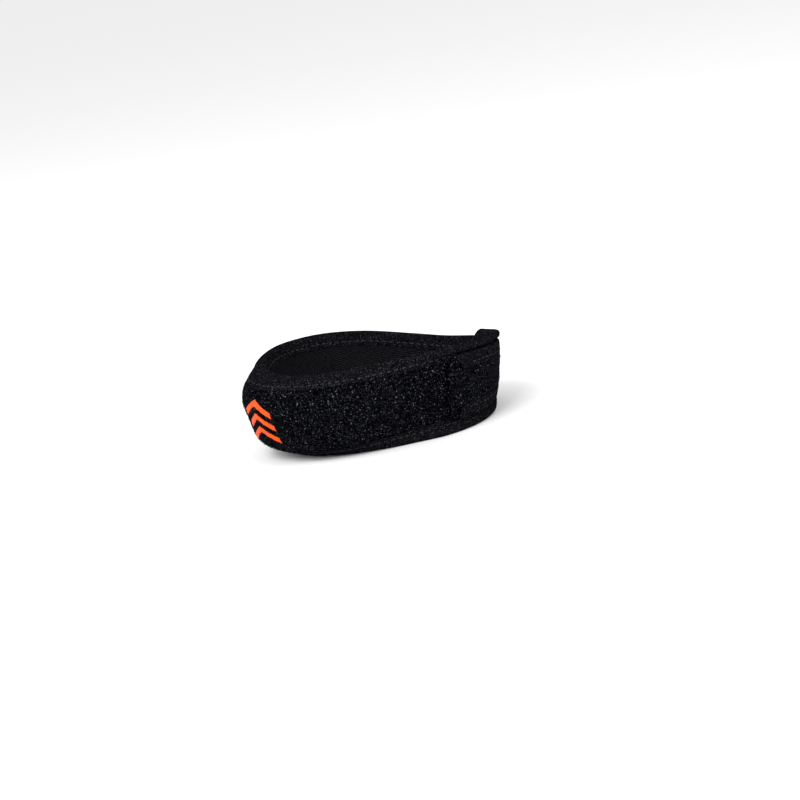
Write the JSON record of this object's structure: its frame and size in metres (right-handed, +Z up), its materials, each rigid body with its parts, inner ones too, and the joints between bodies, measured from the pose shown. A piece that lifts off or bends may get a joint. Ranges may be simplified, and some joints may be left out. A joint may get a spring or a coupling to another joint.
{
  "type": "patella strap",
  "caption": "Soft padded strap worn round the leg just below the kneecap: a loop-faced band with a thick front pad, bound edges and an overlapping side closure.",
  "frame": {"origin": "middle of the floor outline, on the plane that the strap's lower edge stands on", "axes": "+Z up the leg, -Y towards the front of the knee, where the pad is, +X towards the side with the closure"},
  "size_m": [0.1242, 0.1414, 0.0452],
  "materials": {
    "loop_fabric": "brushed loop pile, matt",
    "edge_tape": "finely ribbed elastic tape, matt",
    "hook_tape": "hook tape, dull",
    "orange_print": "smooth transfer print, satin"
  },
  "bodies": {
    "root": {"strap_band": "loop_fabric", "front_pad": "loop_fabric", "top_binding": "edge_tape", "bottom_binding": "edge_tape", "hook_patch": "hook_tape", "emblem_chevron_1": "orange_print", "emblem_chevron_2": "orange_print", "emblem_chevron_3": "orange_print"}
  },
  "joints": []
}
